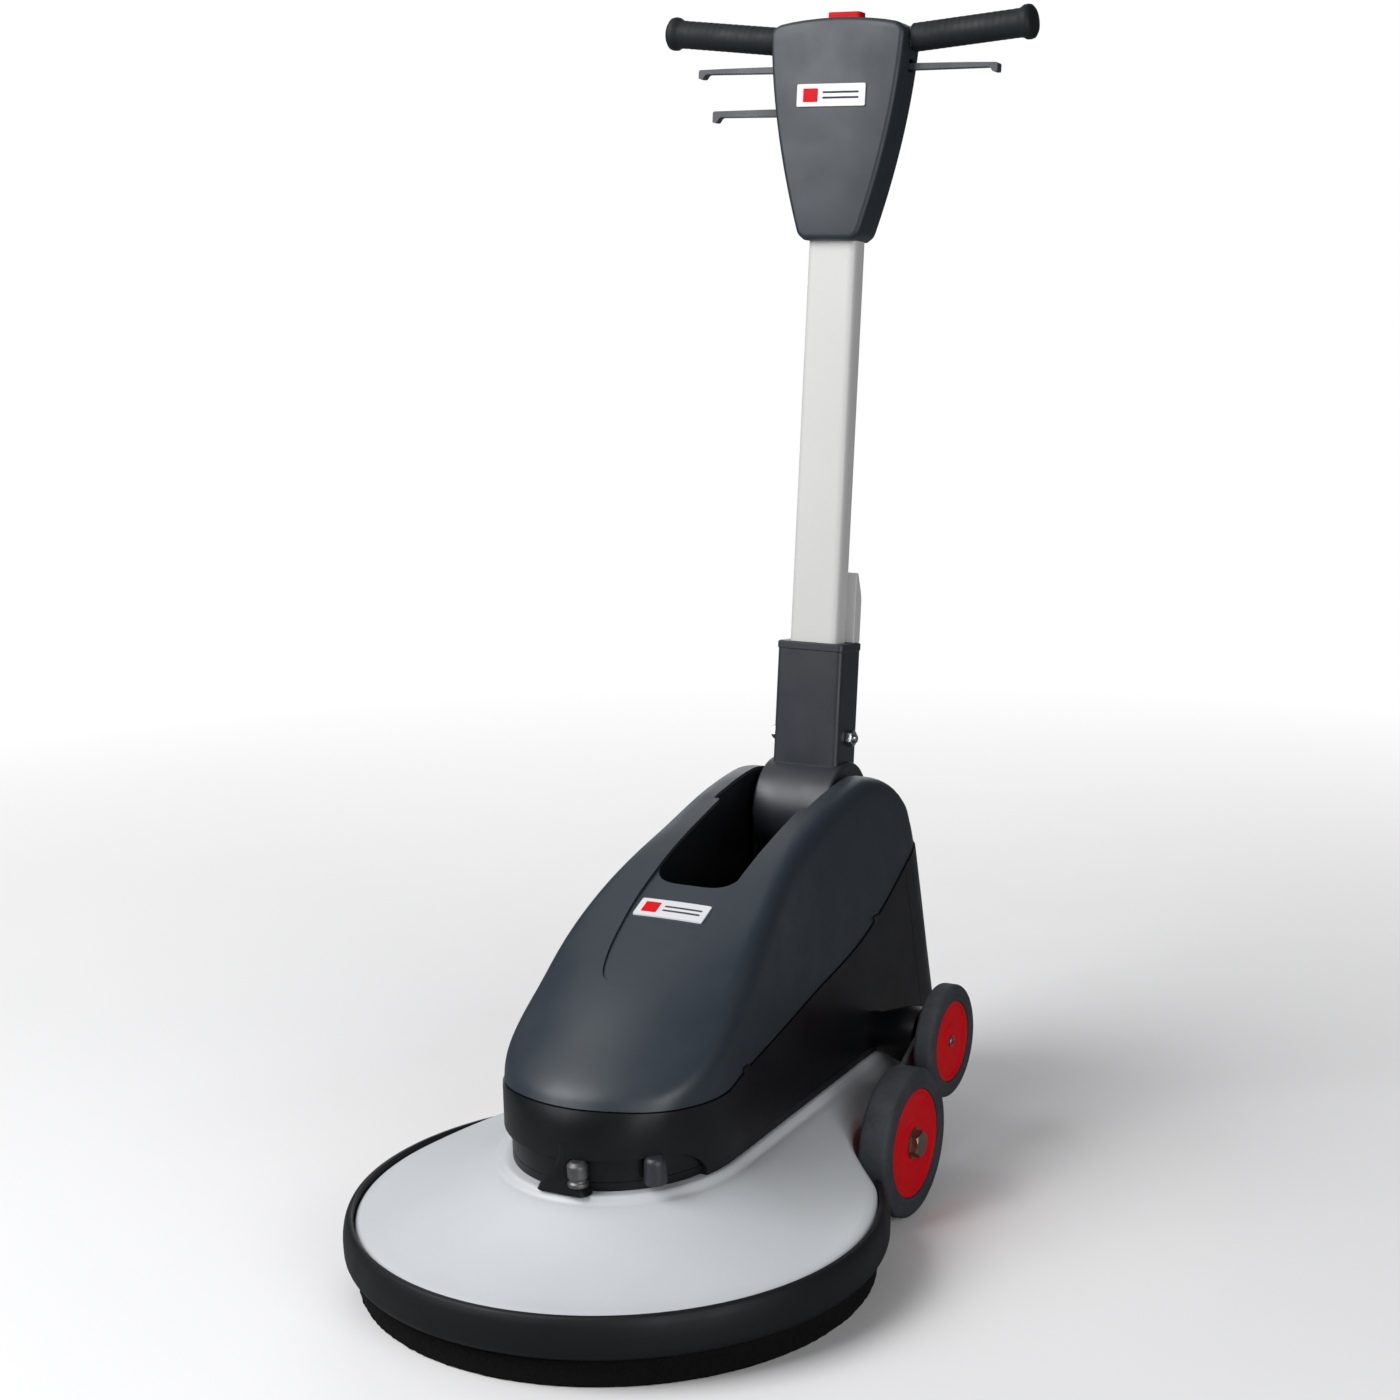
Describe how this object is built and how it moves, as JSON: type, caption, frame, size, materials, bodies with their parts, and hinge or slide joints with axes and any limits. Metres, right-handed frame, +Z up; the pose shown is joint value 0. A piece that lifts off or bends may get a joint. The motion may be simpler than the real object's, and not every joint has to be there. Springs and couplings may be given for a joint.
{
  "type": "rotary floor machine",
  "caption": "Walk-behind floor burnisher: round pad deck under a plastic hood, side wheels, and a folding handle with grips and finger levers.",
  "frame": {"origin": "on the floor under the middle of the machine's overall box", "axes": "+Z up, +Y towards the handle at the rear, +X to the operator's right when looking from the front"},
  "size_m": [0.56, 0.8926, 1.2635],
  "materials": {
    "silver_paint": "smooth light silver-grey paint on cast aluminium",
    "tube_paint": "off-white silver powder coat",
    "hood_plastic": "dark blue-grey moulded plastic, fine texture",
    "black_plastic": "black moulded plastic",
    "bumper_plastic": "dark grey vinyl bumper",
    "black_paint": "black powder coat",
    "pad_fibre": "black non-woven nylon pad",
    "tyre_rubber": "dark grey solid rubber",
    "grip_rubber": "dark grey soft grip",
    "red_plastic": "deep red moulded plastic",
    "lever_plastic": "grey moulded plastic",
    "badge_white": "plain white plate with a plain red band",
    "zinc_steel": "bright zinc plate",
    "cast_iron": "dark casting",
    "cast_aluminium": "dark grey painted casting",
    "bare_aluminium": "dull bare metal"
  },
  "bodies": {
    "chassis": {"deck_housing": "silver_paint", "bumper": "bumper_plastic", "floor_plate": "black_paint", "motor_housing": "cast_iron", "stator_core": "zinc_steel", "motor_end_bell": "cast_iron", "fan_cover": "black_plastic", "lower_bearing": "zinc_steel", "upper_bearing": "zinc_steel", "run_capacitor": "bare_aluminium", "hood": "hood_plastic", "lower_body": "black_plastic", "rear_cover": "black_plastic", "hood_badge": "badge_white", "hinge_bracket_left": "black_paint", "hinge_bracket_right": "black_paint", "hinge_shaft": "zinc_steel", "brake_disc": "zinc_steel", "main_axle": "zinc_steel", "rear_axle": "zinc_steel", "wheel_carrier_left": "black_paint", "wheel_carrier_right": "black_paint", "axle_cap_left": "bare_aluminium", "axle_cap_right": "bare_aluminium"},
    "pad_drive": {"pad": "pad_fibre", "pad_driver": "black_plastic", "drive_hub": "cast_aluminium", "pad_lock": "red_plastic", "rotor_shaft": "zinc_steel", "rotor_core": "cast_iron", "cooling_fan": "black_plastic"},
    "handle": {"handle_yoke": "cast_aluminium", "handle_tube": "tube_paint", "latch_housing": "silver_paint", "tube_bolt": "zinc_steel", "tube_bolt_nut": "zinc_steel", "head_front": "hood_plastic", "head_rear": "hood_plastic", "head_badge": "badge_white", "cable_gland": "black_plastic", "handlebar": "zinc_steel", "grip_left": "grip_rubber", "grip_right": "grip_rubber", "switch_lever_pin_left": "zinc_steel", "switch_lever_pin_right": "zinc_steel", "release_lever_pin": "zinc_steel", "switch_block": "black_plastic"},
    "release_rod": {"release_rod": "zinc_steel"},
    "release_lever": {"release_lever": "lever_plastic"},
    "switch_lever_left": {"switch_lever_left": "lever_plastic"},
    "switch_lever_right": {"switch_lever_right": "lever_plastic"},
    "safety_button": {"safety_button": "red_plastic"},
    "main_wheel_left": {"main_tyre_left": "tyre_rubber", "main_hub_left": "red_plastic"},
    "main_wheel_right": {"main_tyre_right": "tyre_rubber", "main_hub_right": "red_plastic"},
    "rear_wheel_left": {"rear_tyre_left": "tyre_rubber", "rear_hub_left": "red_plastic"},
    "rear_wheel_right": {"rear_tyre_right": "tyre_rubber", "rear_hub_right": "red_plastic"}
  },
  "joints": [
    {"name": "pad_spin", "type": "hinge", "parent": "chassis", "child": "pad_drive", "pos_m": [0, -0.16632, 0.05], "axis": [0, 0, 1], "continuous": true},
    {"name": "handle_fold", "type": "hinge", "parent": "chassis", "child": "handle", "pos_m": [0, 0.30068, 0.373], "axis": [1, 0, 0], "range_deg": [-37, 94]},
    {"name": "switch_lever_left_pull", "type": "hinge", "parent": "handle", "child": "switch_lever_left", "pos_m": [-0.052, 0.42137, 1.20024], "axis": [0, 0.9895, -0.1444], "range_deg": [0, 6], "stiffness_Nm_per_rad": 2, "springref_deg": -8.59},
    {"name": "switch_lever_right_pull", "type": "hinge", "parent": "handle", "child": "switch_lever_right", "pos_m": [0.052, 0.42137, 1.20024], "axis": [0, -0.9895, 0.1444], "range_deg": [0, 6], "stiffness_Nm_per_rad": 2, "springref_deg": -8.59},
    {"name": "release_lever_pull", "type": "hinge", "parent": "handle", "child": "release_lever", "pos_m": [0.034, 0.41444, 1.15275], "axis": [0, 0.9895, -0.1444], "range_deg": [0, 8], "stiffness_Nm_per_rad": 3, "springref_deg": -11.46},
    {"name": "release_rod_lift", "type": "slide", "parent": "handle", "child": "release_rod", "axis": [0, 0.1444, 0.9895], "range_m": [0, 0.0048]},
    {"name": "safety_button_press", "type": "slide", "parent": "handle", "child": "safety_button", "axis": [0, -0.1444, -0.9895], "range_m": [0, 0.0035], "stiffness_N_per_m": 400, "springref_m": -0.005},
    {"name": "main_wheel_left_roll", "type": "hinge", "parent": "chassis", "child": "main_wheel_left", "pos_m": [-0.208, 0.08428, 0.0803], "axis": [1, 0, 0], "continuous": true},
    {"name": "main_wheel_right_roll", "type": "hinge", "parent": "chassis", "child": "main_wheel_right", "pos_m": [0.208, 0.08428, 0.0803], "axis": [1, 0, 0], "continuous": true},
    {"name": "rear_wheel_left_roll", "type": "hinge", "parent": "chassis", "child": "rear_wheel_left", "pos_m": [-0.208, 0.21388, 0.1502], "axis": [1, 0, 0], "continuous": true},
    {"name": "rear_wheel_right_roll", "type": "hinge", "parent": "chassis", "child": "rear_wheel_right", "pos_m": [0.208, 0.21388, 0.1502], "axis": [1, 0, 0], "continuous": true}
  ],
  "couplings": [
    {"joint": "release_rod_lift", "follows": "release_lever_pull", "m_per_rad": 0.034}
  ]
}
